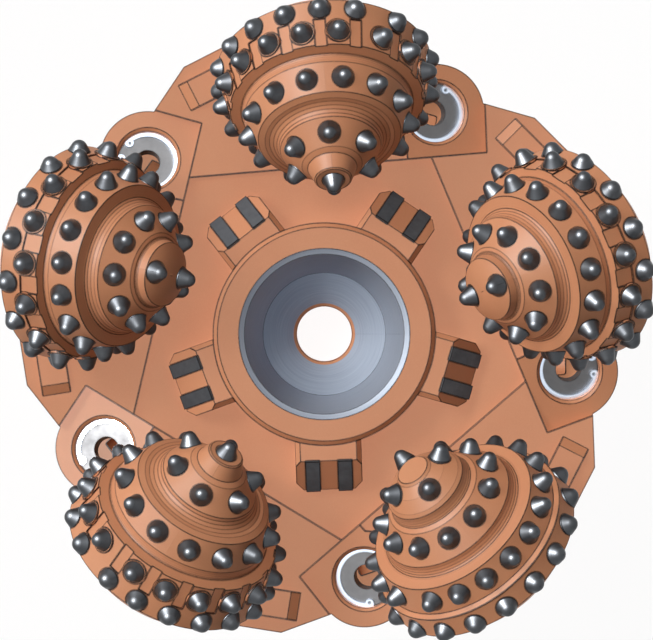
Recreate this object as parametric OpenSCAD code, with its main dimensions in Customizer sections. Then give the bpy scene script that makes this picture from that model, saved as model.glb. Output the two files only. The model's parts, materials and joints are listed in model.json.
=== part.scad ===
/* [Overall] */
// Diameter of the hole that the tool cuts, across the gauge rows
gauge_d = 762; // [740:1:800]
// Direction of the first arm, seen from the cutting side
first_arm = 94.8; // [0:0.1:120]
// Height of the hub body and of the arms below its top face
hub_h = 180; // [165:1:230]
// Distance from the tool axis to the flat sides of the pentagonal hub body
hub_apothem = 191.7; // [188:0.1:194]

/* [Mandrel] */
// Outer diameter of the mandrel and its collar
mandrel_d = 254; // [246:1:258]
// Outer diameter of the fishing neck
neck_d = 250; // [236:1:252]
// Height of the collar above the top face of the hub body
collar_h = 52; // [44:1:70]
// Diameter of the through bore for drilling fluid
bore_d = 64; // [50:1:70]
// Distance between the pin shoulder and the hub body
neck_len = 330; // [200:5:500]
// Length of the tapered pin connection
pin_len = 133; // [120:1:150]
// Diameter of the pin at its shoulder
pin_base_d = 178; // [172:1:184]
// Diameter lost per millimetre of length on both tapered connections
taper = 0.25; // [0.16:0.01:0.27]
// Diameter of the straight mouth of the box connection
box_mouth_d = 182.6; // [176:0.2:188]
// Depth of the straight mouth of the box connection
box_mouth_depth = 16; // [8:1:30]
// Depth of the box connection down to its seat
box_depth = 149; // [130:1:160]
// Width of the bevels on the shoulder faces
shoulder_bevel = 4.6; // [2:0.1:7]

/* [Cutter cones] */
// Angle between each journal axis and the top face of the hub body
journal_angle = 37.5; // [36.5:0.1:38.5]
// Sideways offset of each journal axis from the tool axis
cone_skew = 25; // [20:0.5:30]
// Height of the gauge circle centres above the hub body
cone_lift = 96; // [95:0.5:110]
// Largest radius of a cone, at its heel
heel_r = 122.9; // [121:0.1:124]
// Radius of the back face of a cone
back_r = 98.5; // [96:0.1:100]
// Distance from the gauge circle back to the back face
back_len = 34.2; // [32:0.1:36]
// Depth of the flats milled between the heel inserts
flat_depth = 2; // [1:0.1:3]
// Radius of the round land left around each heel insert
pad_r = 14.6; // [13.5:0.1:16]
// Height of that land above the cone
pad_h = 1.2; // [0.4:0.1:2]

/* [Carbide inserts] */
// Diameter of the carbide inserts
insert_d = 25.4; // [22:0.1:27]
// Length of an insert that is sunk in its cone
insert_grip = 21; // [16:0.5:24]
// Height of an insert above its cone
insert_h = 16.5; // [14:0.5:18]
// Radius of the ball end of an insert
insert_tip_r = 8.5; // [6:0.5:9]
// Height of a gauge insert above its cone
gauge_insert_h = 12; // [9:0.5:14]
// Radius of the ball end of a gauge insert
gauge_tip_r = 9.5; // [8:0.5:11]
// Angle by which a gauge insert leans back from square on its land
gauge_insert_lean = 8; // [0:0.5:12]

/* [Bearings] */
// Diameter of the main journal
journal_d = 100; // [94:1:104]
// Diameter of the pilot pin at the end of the journal
pilot_d = 52; // [44:1:56]
// Radial wall of the two bushes
bush_wall = 6; // [4:0.5:7]
// Radial running clearance between a journal and its bush
running_gap = 0.05; // [0.02:0.01:0.1]
// Diameter of the retaining balls
ball_d = 18; // [15:0.5:19]
// Number of retaining balls in each race
ball_count = 13; // [8:1:13]
// Thickness of the seal ring
seal_d = 9; // [7:0.5:10]
// Gap between the back face of a cone and its arm
back_gap = 1.8; // [1.2:0.1:3]

/* [Arms] */
// Distance that the outer wall of the arms stays inside the gauge
arm_inset = 14; // [11:0.5:18]
// Radius of the lug that carries each journal
lug_r = 98; // [92:1:102]
// Clearance around the turning inserts in the pocket of each arm
pocket_gap = 3.5; // [3:0.1:5]
// Height of the arm shoulders above the hub body
shoulder_lift = 10; // [4:0.5:14]
// Height of the rectangular pad on each shoulder
shoulder_pad_h = 8; // [4:0.5:12]
// Width of that pad
shoulder_pad_w = 32; // [26:0.5:36]
// Length of the sloped end of that pad
shoulder_pad_slope = 11; // [6:0.5:14]

/* [Nozzles] */
// Diameter of a nozzle and of its socket
nozzle_d = 68.4; // [62:0.2:70]
// Diameter of the nozzle opening
orifice_d = 28.6; // [16:0.2:34]
// Distance from the tool axis to a nozzle
nozzle_radius = 284.5; // [281:0.5:287]
// Angle from a nozzle forward to its arm
nozzle_lag = 31.5; // [31:0.1:32]
// Lean of each nozzle away from its cone
nozzle_lean = 14; // [10:0.5:16]
// Depth of the nozzle face in its socket
nozzle_recess = 14; // [10:0.5:18]
// Thickness of the snap ring that holds a nozzle
snap_ring_t = 3.5; // [2.5:0.1:4.5]
// Radial width of the snap ring that shows
snap_ring_w = 4.6; // [3:0.1:6]
// Diameter of the fluid passage to each nozzle
passage_d = 34; // [24:1:38]

/* [Hub wear blocks] */
// Width of a wear block
block_w = 76; // [66:1:80]
// Radial length of a wear block
block_len = 51; // [44:1:56]
// Height of a wear block
block_h = 46; // [36:1:50]
// Length of the level top of a wear block
block_top_len = 18; // [12:1:24]
// Width of each carbide bar in a wear block
bar_w = 16.4; // [12:0.2:20]
// Distance between the two bars of a wear block, centre to centre
bar_pitch = 37; // [32:0.5:42]
// Depth of the slot that holds a bar
bar_depth = 7; // [4:0.5:10]
// Height of a bar above the slope of its block
bar_proud = 1.5; // [0.5:0.1:3]

/* [Hidden] */
$fn = 64;
arms = 5;
arm_step = 360 / arms;
eps = 0.01;
far = 600;

// Colours
steel = [0.77, 0.54, 0.41];
carbide = [0.25, 0.27, 0.29];
bright = [0.45, 0.52, 0.62];
bronze = [0.72, 0.52, 0.26];
rubber = [0.1, 0.1, 0.11];

// Heights above the end of the pin
hub_top = pin_len + neck_len + hub_h;
hub_bottom = hub_top - hub_h;
gauge_z = hub_top + cone_lift;
mandrel_top = hub_top + collar_h;
mandrel_r = mandrel_d / 2;
neck_r = neck_d / 2;
neck_runout = 14;
neck_top = hub_bottom - neck_runout;
neck_flare = 4;

// Turned details of the mandrel, as radius and height where there are two numbers
pin_nose = [6, 8];
pin_relief = 14;
mouth_bevel = [2, 4];
seat_step = 4;
funnel_h = 46;
bore_lip = [3.4, 4];

// Outlines of the three cone patterns from the back face to the nose, as [along the axis, radius]
heel_a = -13;
groove_steps = 5;
outline_a = concat(
    [[-back_len, back_r], [heel_a, heel_r], [9, heel_r - 5.4], [42, heel_r - 11.7]],
    groove([44.5, 98.7], [54.8, 95.8]), [[87.4, 81.8]],
    groove([90.4, 74], [104.2, 57.6]), [[129.3, 34.5], [133.2, 28], [150, 21.5], [151.3, 19.5]]);
outline_b = concat(
    [[-back_len, back_r], [heel_a, heel_r], [12.2, heel_r - 4.2], [32.6, heel_r - 7.7]],
    groove([34.4, 104.2], [40.4, 102.7]), [[73, 93.6]],
    groove([74.6, 82.5], [89, 73]), [[114.8, 45.6]],
    groove([116.6, 41.5], [120.6, 38.2]), [[129, 37.1]]);
outline_c = concat(
    [[-back_len, back_r], [heel_a, heel_r], [12, heel_r - 4.8], [14.8, heel_r - 2.5],
     [17.7, heel_r - 9.4], [50.8, 103.3]],
    groove([52.9, 90.5], [66.2, 83.3]), [[95.8, 58.2]],
    groove([98.4, 53.6], [112, 49.3]), [[116.4, 46.1], [128, 34.2], [137, 22.2], [140.3, 19.4]]);
dome_b_h = 8.8;

// Insert rows as [outline point where the land starts, place along the land, count, pitch, first angle]
rows_a = [[1, 0.43, 18, 19.62, -19.9], [2, 0.47, 17, 20.83, -9.95],
          [9, 0.5, 13, 27.3, -150.2], [16, 0.515, 6, 60, 0]];
rows_b = [[1, 0.34, 15, 24, 0], [2, 0.25, 15, 24, 12],
          [9, 0.46, 16, 22.5, 8.2], [16, 0.51, 9, 38.6, -141]];
rows_c = [[1, 0.31, 18, 20, 10.2], [4, 0.52, 18, 19.5, -48.2],
          [11, 0.57, 11, 360 / 11, 180 / 11], [19, 1.08, 4, 90, 0]];
nose_b = [24.4, 2];
hole_over = 8;

// Flats and pads of the heel row: where a flat ends as a share of the pad's radius, and their cutter
flat_end = 0.95;
flat_cutter_h = 12;
flat_over = 1;
pad_root = 8;

// Pattern on each arm, counted from the first one: 0, 1 and 2 are the patterns a, b and c
patterns = [0, 1, 0, 2, 1];
outlines = [outline_a, outline_b, outline_c];
rows = [rows_a, rows_b, rows_c];

// Journal, counted along its axis from the gauge circle
arm_face = -back_len - back_gap;
journal_r = journal_d / 2;
pilot_r = pilot_d / 2;
main_end = 10;
race_a = 22;
race_end = 34;
pilot_end = 62;
race_r = journal_r - 6;
ball_r = ball_d / 2;
ball_gap = 0.1;
shoulder_r = race_r - 1;
seal_r = journal_r + 6;
seal_a = -back_len + 7;
seal_gap = 0.05;
seal_wall = 0.5;
thrust_gap = 0.4;
bush_gap = 1;

// Places that follow from the gauge
heel_tilt = atan2(outline_a[1][1] - outline_a[2][1], outline_a[2][0] - outline_a[1][0]);
gauge_lean = journal_angle - heel_tilt + gauge_insert_lean;
gauge_row = outline_a[1] + rows_a[0][1] * (outline_a[2] - outline_a[1]);
row_a = gauge_row[0];
row_r = gauge_row[1];
tip_reach = (gauge_insert_h - gauge_tip_r) * sin(gauge_lean) + gauge_tip_r;
rim_reach = insert_d / 2 * cos(gauge_lean);
gauge_reach = -row_a * cos(journal_angle) + row_r * sin(journal_angle) + max(tip_reach, rim_reach);
cone_u = gauge_d / 2 - gauge_reach;
arm_r = gauge_d / 2 - arm_inset;
pocket_r = row_r + gauge_insert_h * cos(heel_tilt - gauge_insert_lean) + pocket_gap;

// Arm outline seen from the cutting side, as [outwards, sideways]
side_far = hub_apothem + 56;
notch = [side_far, -205.4];
meet = [hub_apothem, -203];
next_notch = turned(notch);
next_meet = turned(meet);
corner = [hub_apothem, hub_apothem * tan(arm_step / 2)];
boss_r = 55.3;
nozzle_at = [nozzle_radius * cos(nozzle_lag), -nozzle_radius * sin(nozzle_lag)];
boss_edge = -112;
boss_lap = 2;
boss_step = 30;
boss_blend = [0.6, 0.324];
boss_h = 60;
boss_lift = 7;
nozzle_out = -81.7;
heel_taper = 110;
shoulder_dir = 112.2;
shoulder_corner = [318.3, 134.9];
shoulder_run = 150;
shoulder_end = shoulder_corner - shoulder_run * [cos(shoulder_dir), sin(shoulder_dir)];
pad_end = [282.5, 136.7];
pad_len = 90;
pad_sunk = 2;

// Nozzle parts, counted from the facet of the arm
nozzle_r = nozzle_d / 2;
socket_depth = 60;
socket_over = 30;
rim_chamfer = 3.6;
groove_more = 2.2;
snap_ring_turn = 18;
snap_ring_gap = 0.2;
snap_ring_open = 16;
ear_r = 5.2;
ear_out = 1;
ear_turn = snap_ring_open + 4;
ear_hole_d = 3.2;
o_ring_d = 5;
o_ring_gap = 0.05;
o_ring_z = -38;
nozzle_entry = [0.7, 0.6];
passage_lap = 4;
passage_end = [0, 0, hub_top - 205];
oil_hole_r = 4;
oil_lap = 1;
oil_end = [-20, 0, -8];
oil_outlet = [6, 0, 0];

// Lubricant reservoir in the outer wall of each arm
cap_r = 24;
cap_t = 8;
reservoir_depth = 46;
cap_seat = 4;
cup_h = 16;
cup_wall = 3;
cap_depth = 12;
reservoir_t = -66;
reservoir_z = hub_top - 44;
reservoir_floor = arm_r - cap_depth - cap_t - reservoir_depth;
plug_r = 9;
plug_offset = journal_r - 15;

// Wear blocks: their place after each arm, the slope with its bars, and the clipped corners
block_turn = -38.8;
block_root = 8;
block_clip = 6;
block_edge = 4;
slope_run = block_len - block_top_len;
slope_drop = 34;
slope_angle = atan2(slope_drop, slope_run);
bar_over = 1.5;
bar_cutter_h = 40;

// Gauge buttons
button_r = 8;
button_len = 14;
button_cols = [-101, -76, -51, -25, 1];
button_rows = [31, -8, -40];
button_clear = 4;
plug_way = (arm_r - cone_u + plug_offset * sin(journal_angle)) / cos(journal_angle);
plug_exit = [-cone_skew, cone_lift - plug_way * sin(journal_angle) - plug_offset * cos(journal_angle)];
plug_rise = button_len * tan(journal_angle);

// Rounded foot of a groove, from the bottom of its wall to the start of the next land
function groove(wall, land) = [
    for (i = [0:groove_steps])
        let (q = 90 * i / groove_steps)
        [wall[0] + (land[0] - wall[0]) * (1 - cos(q)), wall[1] + (land[1] - wall[1]) * sin(q)]];

// A point of one arm's outline, as the next arm sees it
function turned(p) = [
    p[0] * cos(arm_step) - p[1] * sin(arm_step),
    p[0] * sin(arm_step) + p[1] * cos(arm_step)];

// Angle by which a land slopes towards the nose
function land_tilt(p, q) = atan2(p[1] - q[1], q[0] - p[0]);

// Frame of one arm: X points outwards, Y sideways, Z to the cutting side
module at_arm(k) {
    rotate(first_arm + arm_step * (k - 1)) children();
}

// Frame of one journal: Z points along its axis to the nose, X to the hole bottom
module at_journal(k) {
    at_arm(k) on_journal() children();
}

module on_journal() {
    translate([cone_u, -cone_skew, gauge_z]) rotate([0, journal_angle - 90, 0]) children();
}

// Frame of one nozzle: Z points out of the facet
module at_nozzle(k) {
    at_arm(k) on_nozzle() children();
}

module on_nozzle() {
    translate([nozzle_at[0], nozzle_at[1], hub_top + boss_lift])
        rotate([0, 0, nozzle_out]) rotate([0, nozzle_lean, 0]) children();
}

// Places its children square on a land, at every insert of a row
module at_row(outline, row) {
    p = outline[row[0]];
    q = outline[row[0] + 1];
    base = p + row[1] * (q - p);
    for (i = [0:row[2] - 1])
        rotate(row[4] + i * row[3]) translate([base[1], 0, base[0]])
            rotate([0, 90 - land_tilt(p, q), 0]) children();
}

// Places its children at every gauge insert of a cone
module at_gauge(pattern) {
    at_row(outlines[pattern], rows[pattern][0]) rotate([0, gauge_insert_lean, 0]) children();
}

// Places its children at the other inserts of a cone, the one on its axis included
module at_cutting(pattern) {
    outline = outlines[pattern];
    for (i = [1:len(rows[pattern]) - 1]) at_row(outline, rows[pattern][i]) children();
    if (pattern == 0) translate([0, 0, outline[len(outline) - 1][0]]) children();
    if (pattern == 1) at_dome() children();
}

// Sphere radius of the domed nose of pattern b
dome_edge = outline_b[len(outline_b) - 1];
dome_b_r = (dome_edge[1] * dome_edge[1] + dome_b_h * dome_b_h) / (2 * dome_b_h);
dome_centre = dome_edge[0] + dome_b_h - dome_b_r;

module at_dome() {
    for (i = [0:nose_b[1] - 1])
        rotate(i * 360 / nose_b[1]) translate([0, 0, dome_centre])
            rotate([0, asin(nose_b[0] / dome_b_r), 0]) translate([0, 0, dome_b_r]) children();
}

// Pressed insert with a cone that runs smoothly into a ball end
module insert(height, tip_r) {
    tip_z = height - tip_r;
    reach = norm([insert_d / 2, tip_z]);
    side = atan2(tip_z, insert_d / 2) + asin(tip_r / reach);
    translate([0, 0, -insert_grip]) cylinder(h = insert_grip, d = insert_d);
    cylinder(h = tip_z + tip_r * cos(side), r1 = insert_d / 2, r2 = tip_r * sin(side));
    translate([0, 0, tip_z]) sphere(r = tip_r);
}

module inserts(k) {
    color(carbide) at_journal(k) {
        at_gauge(patterns[k - 1]) insert(gauge_insert_h, gauge_tip_r);
        at_cutting(patterns[k - 1]) insert(insert_h, insert_tip_r);
    }
}

module insert_hole() {
    translate([0, 0, -insert_grip]) cylinder(h = insert_grip + hole_over, d = insert_d);
}

// Outer form of a cone, before it is drilled
module cone_blank(pattern) {
    outline = outlines[pattern];
    first = outline[0];
    last = outline[len(outline) - 1];
    rotate_extrude() polygon([
        [0, first[0]], for (p = outline) [p[1], p[0]], [0, last[0]]]);
    if (pattern == 1) intersection() {
        translate([0, 0, dome_centre]) sphere(r = dome_b_r);
        translate([0, 0, last[0] - 1]) cylinder(h = dome_b_h + 2, r = last[1]);
    }
}

// Flats between the heel inserts
module heel_flats(outline, row) {
    p = outline[row[0]];
    q = outline[row[0] + 1];
    mid = (p + q) / 2;
    run = norm(q - p);
    width = 2 * (mid[1] * sin(row[3] / 2) - flat_end * pad_r);
    for (i = [0:row[2] - 1])
        rotate(row[4] + (i - 0.5) * row[3]) translate([mid[1], 0, mid[0]])
            rotate([0, 90 - land_tilt(p, q), 0])
                translate([-run / 2 - flat_over, -width / 2, -flat_depth])
                    cube([run + flat_over, width, flat_cutter_h]);
}

module cone_bores() {
    low = -back_len - 1;
    main_r = journal_r + running_gap + bush_wall;
    gland_r = seal_r + 2 * seal_gap + seal_d;
    translate([0, 0, low]) cylinder(h = seal_a + seal_d / 2 + seal_gap - low, r = gland_r);
    translate([0, 0, low]) cylinder(h = main_end + thrust_gap - low, r = main_r);
    translate([0, 0, low]) cylinder(h = race_end + thrust_gap - low, r = race_r + thrust_gap);
    translate([0, 0, race_a]) ball_race(ball_r + ball_gap);
    cylinder(h = pilot_end + thrust_gap, r = pilot_r + running_gap + bush_wall);
}

module ball_race(section) {
    rotate_extrude() translate([race_r, 0]) circle(r = section);
}

module cone(k) {
    pattern = patterns[k - 1];
    outline = outlines[pattern];
    heel = rows[pattern][1];
    color(steel) at_journal(k) difference() {
        union() {
            difference() {
                cone_blank(pattern);
                if (pattern != 2) heel_flats(outline, heel);
            }
            if (pattern != 2) at_row(outline, heel)
                translate([0, 0, -pad_root]) cylinder(h = pad_root + pad_h, r = pad_r);
        }
        cone_bores();
        at_gauge(pattern) insert_hole();
        at_cutting(pattern) insert_hole();
    }
}

module tube(a, b, inner, outer) {
    translate([0, 0, a]) difference() {
        cylinder(h = b - a, r = outer);
        translate([0, 0, -1]) cylinder(h = b - a + 2, r = inner);
    }
}

module bushes(k) {
    main_r = journal_r + running_gap;
    pin_r = pilot_r + running_gap;
    color(bronze) at_journal(k) {
        tube(seal_a + seal_d / 2 + bush_gap, main_end, main_r, main_r + bush_wall);
        tube(race_end + bush_gap, pilot_end, pin_r, pin_r + bush_wall);
    }
}

module balls(k) {
    color(bright) at_journal(k)
        for (i = [0:ball_count - 1])
            rotate(i * 360 / ball_count) translate([race_r, 0, race_a]) sphere(r = ball_r);
}

module seal(k) {
    color(rubber) at_journal(k) rotate_extrude()
        translate([seal_r + seal_gap + seal_d / 2, seal_a]) circle(d = seal_d);
}

module journal() {
    root = arm_face - 1;
    translate([0, 0, root]) cylinder(h = seal_a + seal_d / 2 + seal_wall - root, r = seal_r);
    translate([0, 0, root]) cylinder(h = main_end - root, r = journal_r);
    difference() {
        translate([0, 0, root]) cylinder(h = race_end - root, r = shoulder_r);
        translate([0, 0, race_a]) ball_race(ball_r + ball_gap);
    }
    cylinder(h = pilot_end, r = pilot_r);
}

// Straight hole from the nozzle socket down to the mandrel bore
module passage() {
    start = [nozzle_at[0] - socket_depth * sin(nozzle_lean) * cos(nozzle_out),
             nozzle_at[1] - socket_depth * sin(nozzle_lean) * sin(nozzle_out),
             hub_top + boss_lift - (socket_depth - passage_lap) * cos(nozzle_lean)];
    v = passage_end - start;
    translate(start) rotate([0, acos(v[2] / norm(v)), atan2(v[1], v[0])])
        cylinder(h = norm(v), d = passage_d);
}

module passages() {
    for (k = [1:arms]) at_arm(k) passage();
}

// Plan area between the hub body and the straight edge of the shoulder
module arm_limit() {
    translate([0, 0, hub_bottom]) linear_extrude(far) polygon([
        [hub_apothem, -far], [far, -far], shoulder_end, shoulder_corner, [hub_apothem, far]]);
}

// Stock of an arm below its shoulder
module arm_stock() {
    translate([0, 0, hub_bottom]) linear_extrude(hub_h + shoulder_lift) polygon([
        [hub_apothem, boss_edge - boss_lap], [far, boss_edge - boss_lap], shoulder_end,
        shoulder_corner, next_notch, next_meet, corner]);
}

// Stock around the nozzle, cut to its facet
module boss_stock() {
    difference() {
        translate([0, 0, hub_bottom]) linear_extrude(hub_h + boss_h) union() {
            polygon([meet, notch, nozzle_at + boss_r * boss_blend, [far, boss_edge - boss_step],
                     [far, boss_edge], [hub_apothem, boss_edge]]);
            translate(nozzle_at) circle(r = boss_r);
        }
        on_nozzle() translate([-far, -far, 0]) cube([2 * far, 2 * far, far]);
    }
}

module lug_stock() {
    depth = 2 * lug_r;
    on_journal() translate([0, 0, arm_face - depth]) {
        cylinder(h = depth, r = lug_r);
        translate([-3 * lug_r, -lug_r, 0]) cube([3 * lug_r, 2 * lug_r, depth]);
    }
}

// Round outer form of all arms together, with a taper below for pulling out of the hole
module arm_envelope() {
    rotate_extrude() polygon([
        [0, hub_bottom], [arm_r - heel_taper, hub_bottom], [arm_r, hub_bottom + heel_taper],
        [arm_r, hub_top + far], [0, hub_top + far]]);
}

module shoulder_pad() {
    translate([pad_end[0], pad_end[1], hub_top + shoulder_lift]) rotate(shoulder_dir)
        translate([0, shoulder_pad_w / 2, 0]) rotate([90, 0, 0]) linear_extrude(shoulder_pad_w)
            polygon([[-pad_len, -pad_sunk], [0, -pad_sunk], [0, 0], [-shoulder_pad_slope, shoulder_pad_h],
                     [-pad_len, shoulder_pad_h]]);
}

module arm(k) {
    color(steel) at_arm(k) {
        difference() {
            intersection() {
                union() {
                    arm_stock();
                    boss_stock();
                    lug_stock();
                    shoulder_pad();
                }
                arm_envelope();
                arm_limit();
            }
            on_journal() translate([0, 0, arm_face]) cylinder(h = far, r = pocket_r);
            nozzle_socket();
            passage();
            reservoir_bore();
            oil_hole();
            on_journal() plug_hole();
            at_buttons() cylinder(h = far, r = button_r);
        }
        difference() {
            on_journal() journal();
            oil_hole();
            on_journal() plug_hole();
        }
    }
}

module plug_hole() {
    translate([-plug_offset, 0, race_a - far]) cylinder(h = far, r = plug_r);
}

module ball_plugs() {
    color(bright) for (k = [1:arms]) at_arm(k) intersection() {
        on_journal() difference() {
            translate([-plug_offset, 0, race_a - far]) cylinder(h = far - ball_r, r = plug_r);
            translate([0, 0, race_a]) ball_race(ball_r + ball_gap);
        }
        cylinder(h = far + hub_top, r = arm_r);
    }
}

module reservoir_frame() {
    translate([0, reservoir_t, reservoir_z]) rotate([0, 90, 0]) children();
}

module reservoir_bore() {
    reservoir_frame() {
        translate([0, 0, arm_r - cap_depth - cap_t]) cylinder(h = far, r = cap_r);
        translate([0, 0, reservoir_floor]) cylinder(h = far, r = cap_r - cap_seat);
    }
}

// Drilled way from the reservoir to the main journal
module oil_hole() {
    start = [reservoir_floor + oil_lap, reservoir_t, reservoir_z];
    lean = journal_angle;
    end = [cone_u + oil_end[0] * sin(lean) - oil_end[2] * cos(lean), -cone_skew,
           gauge_z + oil_end[0] * cos(lean) + oil_end[2] * sin(lean)];
    v = end - start;
    translate(start) rotate([0, acos(v[2] / norm(v)), atan2(v[1], v[0])])
        cylinder(h = norm(v), r = oil_hole_r);
    on_journal() translate(oil_end + oil_outlet) rotate([0, -90, 0])
        cylinder(h = journal_r, r = oil_hole_r + oil_lap);
}

module reservoir_caps() {
    color(bright) for (k = [1:arms]) at_arm(k) reservoir_frame()
        translate([0, 0, arm_r - cap_depth - cap_t]) cylinder(h = cap_t, r = cap_r);
}

module reservoir_diaphragms() {
    color(rubber) for (k = [1:arms]) at_arm(k) reservoir_frame()
        translate([0, 0, arm_r - cap_depth - cap_t - cup_h]) difference() {
            cylinder(h = cup_h, r = cap_r - cap_seat);
            translate([0, 0, cup_wall]) cylinder(h = cup_h, r = cap_r - cap_seat - cup_wall);
        }
}

module nozzle_socket() {
    on_nozzle() {
        translate([0, 0, -socket_depth]) cylinder(h = socket_depth + socket_over, r = nozzle_r);
        translate([0, 0, -rim_chamfer])
            cylinder(h = rim_chamfer + eps, r1 = nozzle_r, r2 = nozzle_r + rim_chamfer);
        translate([0, 0, -nozzle_recess]) cylinder(h = snap_ring_t, r = nozzle_r + groove_more);
        o_ring(o_ring_d);
    }
}

module o_ring(section_d) {
    translate([0, 0, o_ring_z]) rotate_extrude() translate([nozzle_r, 0]) circle(d = section_d);
}

module nozzle(k) {
    top = -nozzle_recess;
    length = socket_depth - nozzle_recess;
    color(bright) at_nozzle(k) difference() {
        translate([0, 0, -socket_depth]) cylinder(h = length, r = nozzle_r);
        translate([0, 0, -socket_depth - 1]) cylinder(h = length + 2, d = orifice_d);
        translate([0, 0, -socket_depth - 1])
            cylinder(h = length * nozzle_entry[1], r1 = nozzle_r * nozzle_entry[0], r2 = orifice_d / 2);
        o_ring(o_ring_d);
    }
}

module nozzle_o_rings() {
    color(rubber) for (k = [1:arms]) at_nozzle(k) o_ring(o_ring_d - 2 * o_ring_gap);
}

// Internal snap ring: an open ring with two drilled ears
module snap_ring(k) {
    outer = nozzle_r + groove_more - snap_ring_gap;
    inner = nozzle_r - snap_ring_w;
    mouth = [cos(snap_ring_open), sin(snap_ring_open)];
    turn = snap_ring_turn - nozzle_out - nozzle_lag;
    color(bright) at_nozzle(k) translate([0, 0, -nozzle_recess]) rotate(turn)
        linear_extrude(snap_ring_t) difference() {
            union() {
                difference() {
                    circle(r = outer);
                    circle(r = inner);
                    polygon([[0, 0], far * [mouth[0], -mouth[1]], far * mouth]);
                }
                for (side = [-1, 1]) rotate(side * ear_turn) translate([inner + ear_out, 0])
                    circle(r = ear_r);
            }
            for (side = [-1, 1]) rotate(side * ear_turn) translate([inner, 0])
                circle(d = ear_hole_d, $fn = 24);
        }
}

module mandrel() {
    pin_end_r = (pin_base_d - taper * pin_len) / 2;
    mouth_r = box_mouth_d / 2;
    seat_r = mouth_r - taper * (box_depth - box_mouth_depth) / 2 - seat_step;
    bore_r = bore_d / 2;
    seat_z = mandrel_top - box_depth;
    color(steel) difference() {
        rotate_extrude() polygon([
            [bore_r, 0], [pin_end_r - pin_nose[0], 0], [pin_end_r, pin_nose[1]],
            [pin_base_d / 2, pin_len - pin_relief],
            [pin_base_d / 2, pin_len], [neck_r - shoulder_bevel, pin_len],
            [neck_r, pin_len + shoulder_bevel], [neck_r, neck_top],
            [mandrel_r, neck_top + neck_flare], [mandrel_r, mandrel_top - shoulder_bevel],
            [mandrel_r - shoulder_bevel, mandrel_top],
            [mouth_r + mouth_bevel[0] + shoulder_bevel, mandrel_top],
            [mouth_r, mandrel_top - mouth_bevel[1]], [mouth_r, mandrel_top - box_mouth_depth],
            [seat_r, seat_z], [bore_r + bore_lip[0], seat_z - funnel_h + bore_lip[1]],
            [bore_r, seat_z - funnel_h]]);
        passages();
    }
}

module hub_body() {
    color(steel) difference() {
        intersection() {
            translate([0, 0, hub_bottom]) rotate(first_arm + arm_step / 2)
                cylinder(h = hub_h, r = hub_apothem / cos(arm_step / 2), $fn = arms);
            arm_envelope();
        }
        translate([0, 0, hub_bottom - 1]) cylinder(h = hub_h + 2, r = mandrel_r);
        passages();
    }
}

// Frame of one wear block: X points outwards from the mandrel wall
module at_block(k) {
    rotate(first_arm + block_turn + arm_step * (k - 1)) translate([0, 0, hub_top]) children();
}

module wear_block(k) {
    foot = mandrel_r - block_root;
    outer = mandrel_r + block_len;
    color(steel) at_block(k) difference() {
        translate([0, block_w / 2, 0]) rotate([90, 0, 0]) linear_extrude(block_w) polygon([
            [foot, 0], [outer, 0], [outer, block_h - slope_drop],
            [outer - slope_run, block_h], [foot, block_h]]);
        translate([0, 0, -1]) cylinder(h = block_h + 2, r = mandrel_r);
        for (side = [-1, 1]) {
            translate([outer, side * block_w / 2, -1]) rotate(45)
                translate([-block_clip, -block_clip, 0])
                    cube([2 * block_clip, 2 * block_clip, block_h + 2]);
            translate([0, side * block_w / 2, block_h]) rotate([45, 0, 0])
                translate([0, -block_edge, -block_edge]) cube([far, 2 * block_edge, 2 * block_edge]);
        }
        on_slope() bars(bar_depth, bar_cutter_h);
    }
}

module on_slope() {
    translate([mandrel_r + block_top_len, 0, block_h]) rotate([0, slope_angle, 0]) children();
}

module bars(depth, above) {
    length = norm([slope_run, slope_drop]);
    for (side = [-1, 1])
        translate([0, side * bar_pitch / 2 - bar_w / 2, -depth])
            cube([length + bar_over, bar_w, depth + above]);
}

module block_carbides() {
    color(carbide) for (k = [1:arms]) at_block(k) on_slope() bars(bar_depth, bar_proud);
}

// Distance from a gauge button to the plug's axis, which rises from the wall to the button's foot
function plug_distance(t, z) =
    let (middle = plug_exit[1] + plug_rise / 2)
    norm([t - plug_exit[0], max(0, abs(z - middle) - plug_rise / 2)]);

// Places its children at the foot of every gauge button, clear of the ball plug and the reservoir
module at_buttons() {
    cap_at = [reservoir_t, reservoir_z - hub_top];
    clear = button_r + button_clear;
    plug_clear = plug_r / cos(journal_angle) + clear;
    for (t = button_cols) for (z = button_rows)
        if (plug_distance(t, z) > plug_clear && norm([t, z] - cap_at) > cap_r + clear)
            rotate(asin(t / arm_r)) translate([arm_r - button_len, 0, hub_top + z])
                rotate([0, 90, 0]) children();
}

module gauge_buttons() {
    color(carbide) for (k = [1:arms]) at_arm(k) at_buttons() cylinder(h = button_len, r = button_r);
}

mandrel();
hub_body();
arm(1);  // arm_1
arm(2);  // arm_2
arm(3);  // arm_3
arm(4);  // arm_4
arm(5);  // arm_5
cone(1);  // cone_1
cone(2);  // cone_2
cone(3);  // cone_3
cone(4);  // cone_4
cone(5);  // cone_5
inserts(1);  // inserts_1
inserts(2);  // inserts_2
inserts(3);  // inserts_3
inserts(4);  // inserts_4
inserts(5);  // inserts_5
bushes(1);  // bushes_1
bushes(2);  // bushes_2
bushes(3);  // bushes_3
bushes(4);  // bushes_4
bushes(5);  // bushes_5
balls(1);  // balls_1
balls(2);  // balls_2
balls(3);  // balls_3
balls(4);  // balls_4
balls(5);  // balls_5
seal(1);  // seal_1
seal(2);  // seal_2
seal(3);  // seal_3
seal(4);  // seal_4
seal(5);  // seal_5
nozzle(1);  // nozzle_1
nozzle(2);  // nozzle_2
nozzle(3);  // nozzle_3
nozzle(4);  // nozzle_4
nozzle(5);  // nozzle_5
snap_ring(1);  // snap_ring_1
snap_ring(2);  // snap_ring_2
snap_ring(3);  // snap_ring_3
snap_ring(4);  // snap_ring_4
snap_ring(5);  // snap_ring_5
wear_block(1);  // wear_block_1
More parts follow.
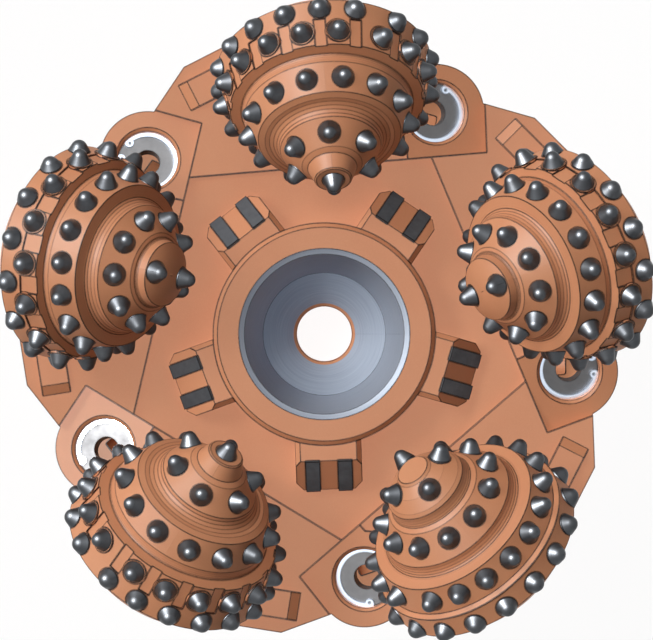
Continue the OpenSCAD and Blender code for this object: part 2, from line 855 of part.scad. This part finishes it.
wear_block(2);  // wear_block_2
wear_block(3);  // wear_block_3
wear_block(4);  // wear_block_4
wear_block(5);  // wear_block_5
block_carbides();
nozzle_o_rings();
ball_plugs();
reservoir_caps();
reservoir_diaphragms();
gauge_buttons();
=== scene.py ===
import json
import math

import bpy
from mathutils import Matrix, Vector


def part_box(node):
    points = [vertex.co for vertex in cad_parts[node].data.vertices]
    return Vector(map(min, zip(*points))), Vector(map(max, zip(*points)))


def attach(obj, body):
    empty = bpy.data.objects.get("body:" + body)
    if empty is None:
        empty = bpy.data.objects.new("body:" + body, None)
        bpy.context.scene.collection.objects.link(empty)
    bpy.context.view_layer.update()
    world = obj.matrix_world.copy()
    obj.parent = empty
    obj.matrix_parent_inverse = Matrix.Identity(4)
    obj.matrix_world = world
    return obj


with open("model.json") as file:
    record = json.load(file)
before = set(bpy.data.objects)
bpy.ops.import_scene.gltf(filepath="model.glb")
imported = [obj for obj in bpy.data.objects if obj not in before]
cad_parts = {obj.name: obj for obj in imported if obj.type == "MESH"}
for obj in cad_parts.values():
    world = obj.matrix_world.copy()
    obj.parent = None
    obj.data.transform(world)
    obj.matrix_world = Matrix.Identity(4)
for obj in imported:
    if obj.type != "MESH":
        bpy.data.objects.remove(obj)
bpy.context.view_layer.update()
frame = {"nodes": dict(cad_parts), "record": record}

# Photograph: metres per pixel, picture size and the pixel of the tool axis
PX = 0.0011433
PHOTO_W, PHOTO_H = 653, 640
AXIS_PX = (324.3, 334.1)

# Camera: its height, and the height of the plane that the scale above holds for
CAMERA_Z = 30.0
SCALE_Z = 0.7
CAMERA_CLIP = 200.0
SENSOR_MM = 36.0

# The box connection: the height of its floor and a radius just outside its mouth
BOX_DEPTH = 0.191
BOX_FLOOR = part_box("mandrel")[1].z - BOX_DEPTH
BOX_R = 0.0982

# The pin's cone, and the thread on it
PIN_FOOT = Vector((0.072375, 0, 0.008))
PIN_TOP = Vector((0.089, 0, 0.119))
THREAD_PITCH = 0.00635
THREAD_HEIGHT = 0.0028
THREAD_SUNK = 0.0004
THREAD_START, THREAD_END = 0.011, 0.112
THREAD_STEPS = 96
CREST_HALF, FOOT_HALF = 0.12, 0.42

# Light: the side that it comes from, in degrees, and the strength of each lamp
LIGHT_AZIMUTH, LIGHT_ELEVATION = 150, 49.4
KEY, FILL, SOFTBOX = 0.45, 3.2, 14.0
KEY_ANGLE, FILL_ANGLE, SOFTBOX_ANGLE = 12, 26, 34
AMBIENT = 0.13
AMBIENT_TINT = (0.97, 0.98, 1.0, 1.0)
LAMP_DISTANCE = 5.0

# Floor: half its width, its colour and roughness, and how much of it is plain white to the camera
FLOOR_HALF = 60.0
FLOOR_GREY = 0.86
FLOOR_ROUGHNESS = 0.9
FLOOR_WHITE = 0.8


def rgb(r, g, b):
    """Linear colour of an 8-bit screen colour."""
    lin = [((c / 255 + 0.055) / 1.055) ** 2.4 if c > 10 else c / 255 / 12.92 for c in (r, g, b)]
    return (*lin, 1.0)


COPPER = rgb(189, 130, 94)
COPPER_LIGHT = rgb(199, 138, 101)
COPPER_DARK = rgb(184, 123, 87)
COPPER_EDGE = rgb(14, 10, 8)
BARE = rgb(150, 158, 170)
BARE_DARK = rgb(136, 144, 156)
METAL_EDGE = rgb(14, 15, 17)
SOOT, SOOT_LIGHT = rgb(24, 24, 26), rgb(38, 38, 41)

# Noise scales, in waves per metre, and the lines along edges: their width and the bevel's range
PATCHES, GRAIN, TURNING = 9.0, 900.0, 14.0
METAL_GRAIN, RUBBER_TONE, RUBBER_GRAIN = 1500.0, 300.0, 2500.0
COAT_LINE, METAL_LINE = 0.0023, 0.0016
LINE_RANGE = (0.99, 0.9997)


# Materials
class Nodes:
    """A material with its shader, and short calls that add shader nodes to it."""

    def __init__(self, name):
        self.mat = bpy.data.materials.new(name)
        self.mat.use_nodes = True
        self.tree = self.mat.node_tree
        self.shader = self.tree.nodes["Principled BSDF"]
        self.position = self.add("ShaderNodeTexCoord").outputs["Object"]

    def add(self, kind, **values):
        node = self.tree.nodes.new(kind)
        for key, value in values.items():
            setattr(node, key, value)
        return node

    def put(self, value, socket):
        """Links an output to a socket, or sets a plain value on it."""
        if hasattr(value, "is_linked"):
            self.tree.links.new(value, socket)
        else:
            socket.default_value = value

    def surface(self, **values):
        for key, value in values.items():
            self.put(value, self.shader.inputs[key.replace("_", " ")])

    def noise(self, scale, detail=4.0, rough=0.55, stretch=None):
        node = self.add("ShaderNodeTexNoise")
        source = self.position
        if stretch:
            mapping = self.add("ShaderNodeMapping")
            self.put(source, mapping.inputs["Vector"])
            self.put(stretch, mapping.inputs["Scale"])
            source = mapping.outputs["Vector"]
        for value, name in ((scale, "Scale"), (detail, "Detail"), (rough, "Roughness"), (source, "Vector")):
            self.put(value, node.inputs[name])
        return node.outputs["Fac"]

    def ramp(self, value, low, high, a=0.0, b=1.0):
        node = self.add("ShaderNodeMapRange")
        names = ("Value", "From Min", "From Max", "To Min", "To Max")
        for number, name in zip((value, low, high, a, b), names):
            self.put(number, node.inputs[name])
        return node.outputs["Result"]

    def mix(self, factor, a, b):
        node = self.add("ShaderNodeMix", data_type="RGBA")
        for value, name in ((factor, "Factor"), (a, "A"), (b, "B")):
            self.put(value, next(i for i in node.inputs if i.name == name and i.enabled))
        return next(o for o in node.outputs if o.enabled)

    def math(self, operation, a, b):
        node = self.add("ShaderNodeMath", operation=operation)
        self.put(a, node.inputs[0])
        self.put(b, node.inputs[1])
        return node.outputs[0]

    def edges(self, radius, low, high):
        """1 along sharp edges of the solid, 0 elsewhere."""
        bevel = self.add("ShaderNodeBevel", samples=6)
        self.put(radius, bevel.inputs["Radius"])
        dot = self.add("ShaderNodeVectorMath", operation="DOT_PRODUCT")
        self.put(bevel.outputs["Normal"], dot.inputs[0])
        self.put(self.add("ShaderNodeNewGeometry").outputs["Normal"], dot.inputs[1])
        return self.ramp(dot.outputs["Value"], high, low)

    def bump(self, height, strength, distance):
        node = self.add("ShaderNodeBump")
        for value, name in ((height, "Height"), (strength, "Strength"), (distance, "Distance")):
            self.put(value, node.inputs[name])
        self.surface(Normal=node.outputs["Normal"])


def copper(name):
    """Starts a copper-coloured coating with faint cloudy patches and a fine grain."""
    m = Nodes(name)
    patches = m.ramp(m.noise(PATCHES, 5.0), 0.35, 0.68)
    grain = m.noise(GRAIN, 3.0, 0.6)
    colour = m.mix(patches, COPPER_DARK, COPPER)
    colour = m.mix(m.ramp(grain, 0.45, 0.75, 0.0, 0.35), colour, COPPER_LIGHT)
    return m, colour, grain


def coated(m, colour, grain):
    """Finishes a coated material: edge lines, roughness and grain."""
    line = m.edges(COAT_LINE, *LINE_RANGE)
    m.surface(Base_Color=m.mix(line, colour, COPPER_EDGE), Specular_IOR_Level=0.15,
              Roughness=m.ramp(grain, 0.3, 0.7, 0.5, 0.57))
    m.bump(grain, 0.12, 0.0004)
    return m.mat


def body_coat():
    return coated(*copper("coated_steel"))


def mandrel_coat():
    """The coating, left off inside the box connection, where the steel is bare and turned."""
    m, colour, grain = copper("coated_mandrel")
    place = m.add("ShaderNodeSeparateXYZ")
    m.put(m.position, place.inputs[0])
    x, y, z = place.outputs
    r2 = m.math("ADD", m.math("MULTIPLY", x, x), m.math("MULTIPLY", y, y))
    inside = m.math("MULTIPLY", m.math("LESS_THAN", r2, BOX_R ** 2), m.math("GREATER_THAN", z, BOX_FLOOR))
    turned = m.ramp(m.noise(TURNING, 4.0, 0.6, (1, 1, 60)), 0.3, 0.7)
    m.surface(Metallic=m.math("MULTIPLY", inside, 0.12))
    return coated(m, m.mix(inside, colour, m.mix(turned, BARE_DARK, BARE)), grain)


def metal(name, colour, dark, rough, edge=0.6, scale=60.0):
    """Bare metal with uneven tone, dark edges and a fine grain."""
    m = Nodes(name)
    wear = m.ramp(m.noise(scale, 4.0, 0.6), 0.32, 0.7)
    line = m.edges(METAL_LINE, *LINE_RANGE)
    base = m.mix(m.math("MULTIPLY", line, edge), m.mix(wear, dark, colour), METAL_EDGE)
    m.surface(Base_Color=base, Metallic=1.0, Roughness=m.ramp(wear, 0.0, 1.0, rough + 0.05, rough - 0.03))
    m.bump(m.noise(METAL_GRAIN, 2.0), 0.06, 0.0002)
    return m.mat


def rubber(name):
    m = Nodes(name)
    m.surface(Base_Color=m.mix(m.noise(RUBBER_TONE), SOOT, SOOT_LIGHT),
              Roughness=0.7, Specular_IOR_Level=0.3)
    m.bump(m.noise(RUBBER_GRAIN), 0.1, 0.0002)
    return m.mat


MATERIALS = {
    "body_steel": body_coat(),
    "machined_steel": mandrel_coat(),
    "carbide": metal("carbide", rgb(74, 76, 79), rgb(62, 64, 67), 0.42, edge=1.0),
    "bearing_bronze": metal("bronze", rgb(190, 150, 90), rgb(160, 118, 66), 0.35),
    "ball_steel": metal("ball_steel", rgb(205, 208, 212), rgb(185, 190, 196), 0.12),
    "seal_rubber": rubber("seal_rubber"),
    "nozzle_carbide": metal("nozzle_carbide", rgb(80, 80, 81), rgb(71, 71, 72), 0.54),
    "spring_steel": metal("spring_steel", rgb(222, 232, 246), rgb(196, 210, 230), 0.3),
    "plug_steel": metal("plug_steel", rgb(190, 194, 200), rgb(160, 166, 174), 0.35),
}
slot_of = {s["node"]: s["material_slot"] for s in frame["record"]["subparts"]}
for node_name, node_object in frame["nodes"].items():
    for material_slot in node_object.material_slots:
        material_slot.material = MATERIALS[slot_of[node_name]]


# Thread of the pin
def pin_thread():
    """One helical ridge that runs up the cone of the pin, fading out at both ends."""
    rings = int((THREAD_END - THREAD_START) / THREAD_PITCH * THREAD_STEPS)
    slope = (PIN_TOP.x - PIN_FOOT.x) / (PIN_TOP.z - PIN_FOOT.z)
    verts, faces = [], []
    for i in range(rings + 1):
        angle = math.tau * i / THREAD_STEPS
        turn_z = THREAD_START + THREAD_PITCH * i / THREAD_STEPS
        crest = THREAD_HEIGHT * min(1.0, i / THREAD_STEPS, (rings - i) / THREAD_STEPS)
        section = ((-FOOT_HALF, -THREAD_SUNK), (-CREST_HALF, crest),
                   (CREST_HALF, crest), (FOOT_HALF, -THREAD_SUNK))
        for along, out in section:
            z = turn_z + along * THREAD_PITCH
            r = PIN_FOOT.x + slope * (z - PIN_FOOT.z) + out
            verts.append((r * math.cos(angle), r * math.sin(angle), z))
    for i in range(rings):
        for k in range(4):
            a, b = 4 * i + k, 4 * i + (k + 1) % 4
            faces.append((a, b, b + 4, a + 4))
    faces.append((3, 2, 1, 0))
    faces.append(tuple(4 * rings + k for k in range(4)))
    mesh = bpy.data.meshes.new("pin_thread")
    mesh.from_pydata(verts, [], faces)
    mesh.materials.append(metal("bare_thread", BARE, BARE_DARK, 0.34))
    piece = bpy.data.objects.new("pin_thread", mesh)
    bpy.context.collection.objects.link(piece)
    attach(piece, "root")


pin_thread()


# Stage, light and camera
def white_to_camera(tree, shader, white, keep):
    """Mixes a shader with plain white for what the camera and reflections see."""
    path = tree.nodes.new("ShaderNodeLightPath")
    seen = path.outputs["Is Camera Ray"]
    for name in ("Is Glossy Ray", "Is Transmission Ray"):
        either = tree.nodes.new("ShaderNodeMath")
        either.operation = "MAXIMUM"
        tree.links.new(seen, either.inputs[0])
        tree.links.new(path.outputs[name], either.inputs[1])
        seen = either.outputs[0]
    part = tree.nodes.new("ShaderNodeMath")
    part.operation = "MULTIPLY"
    part.inputs[1].default_value = keep
    tree.links.new(seen, part.inputs[0])
    mix = tree.nodes.new("ShaderNodeMixShader")
    for output, socket in zip((part.outputs[0], shader, white), mix.inputs):
        tree.links.new(output, socket)
    return mix.outputs[0]


def floor():
    corners = [(x * FLOOR_HALF, y * FLOOR_HALF, 0) for x, y in ((-1, -1), (1, -1), (1, 1), (-1, 1))]
    mesh = bpy.data.meshes.new("floor")
    mesh.from_pydata(corners, [], [(0, 1, 2, 3)])
    material = bpy.data.materials.new("pale_floor")
    material.use_nodes = True
    tree = material.node_tree
    pale = tree.nodes["Principled BSDF"]
    pale.inputs["Base Color"].default_value = (FLOOR_GREY, FLOOR_GREY, FLOOR_GREY, 1)
    pale.inputs["Roughness"].default_value = FLOOR_ROUGHNESS
    white = tree.nodes.new("ShaderNodeEmission")
    shown = white_to_camera(tree, pale.outputs[0], white.outputs[0], FLOOR_WHITE)
    tree.links.new(shown, tree.nodes["Material Output"].inputs["Surface"])
    mesh.materials.append(material)
    obj = bpy.data.objects.new("floor", mesh)
    bpy.context.collection.objects.link(obj)


def studio():
    world = bpy.data.worlds.new("studio")
    world.use_nodes = True
    bpy.context.scene.world = world
    tree = world.node_tree
    ambient = tree.nodes["Background"]
    ambient.inputs["Color"].default_value = AMBIENT_TINT
    ambient.inputs["Strength"].default_value = AMBIENT
    white = tree.nodes.new("ShaderNodeBackground")
    white.inputs["Color"].default_value = (1, 1, 1, 1)
    shown = white_to_camera(tree, ambient.outputs[0], white.outputs[0], 1.0)
    tree.links.new(shown, tree.nodes["World Output"].inputs["Surface"])


def sun(name, strength, angle, shadow=True, gloss_only=False):
    """A lamp that shines from the light's side."""
    lamp = bpy.data.lights.new(name, "SUN")
    lamp.energy = strength
    lamp.use_shadow = shadow
    lamp.angle = math.radians(angle)
    a, e = math.radians(LIGHT_AZIMUTH), math.radians(LIGHT_ELEVATION)
    towards = Vector((math.cos(a) * math.cos(e), math.sin(a) * math.cos(e), math.sin(e)))
    obj = bpy.data.objects.new(name, lamp)
    obj.rotation_mode = "QUATERNION"
    obj.rotation_quaternion = towards.to_track_quat("Z", "Y")
    obj.location = towards * LAMP_DISTANCE
    obj.visible_diffuse = not gloss_only
    bpy.context.collection.objects.link(obj)


def camera():
    """Looks straight down the tool axis, with the photograph's scale at SCALE_Z."""
    data = bpy.data.cameras.new("camera")
    data.sensor_width = SENSOR_MM
    data.lens = SENSOR_MM * (CAMERA_Z - SCALE_Z) / (PHOTO_W * PX)
    data.clip_end = CAMERA_CLIP
    obj = bpy.data.objects.new("camera", data)
    obj.location = ((PHOTO_W / 2 - AXIS_PX[0]) * PX, (AXIS_PX[1] - PHOTO_H / 2) * PX, CAMERA_Z)
    bpy.context.collection.objects.link(obj)
    bpy.context.scene.camera = obj


floor()
studio()
sun("key", KEY, KEY_ANGLE)
sun("fill", FILL, FILL_ANGLE, shadow=False)
sun("softbox", SOFTBOX, SOFTBOX_ANGLE, shadow=False, gloss_only=True)
camera()
bpy.context.scene.view_settings.view_transform = "Standard"
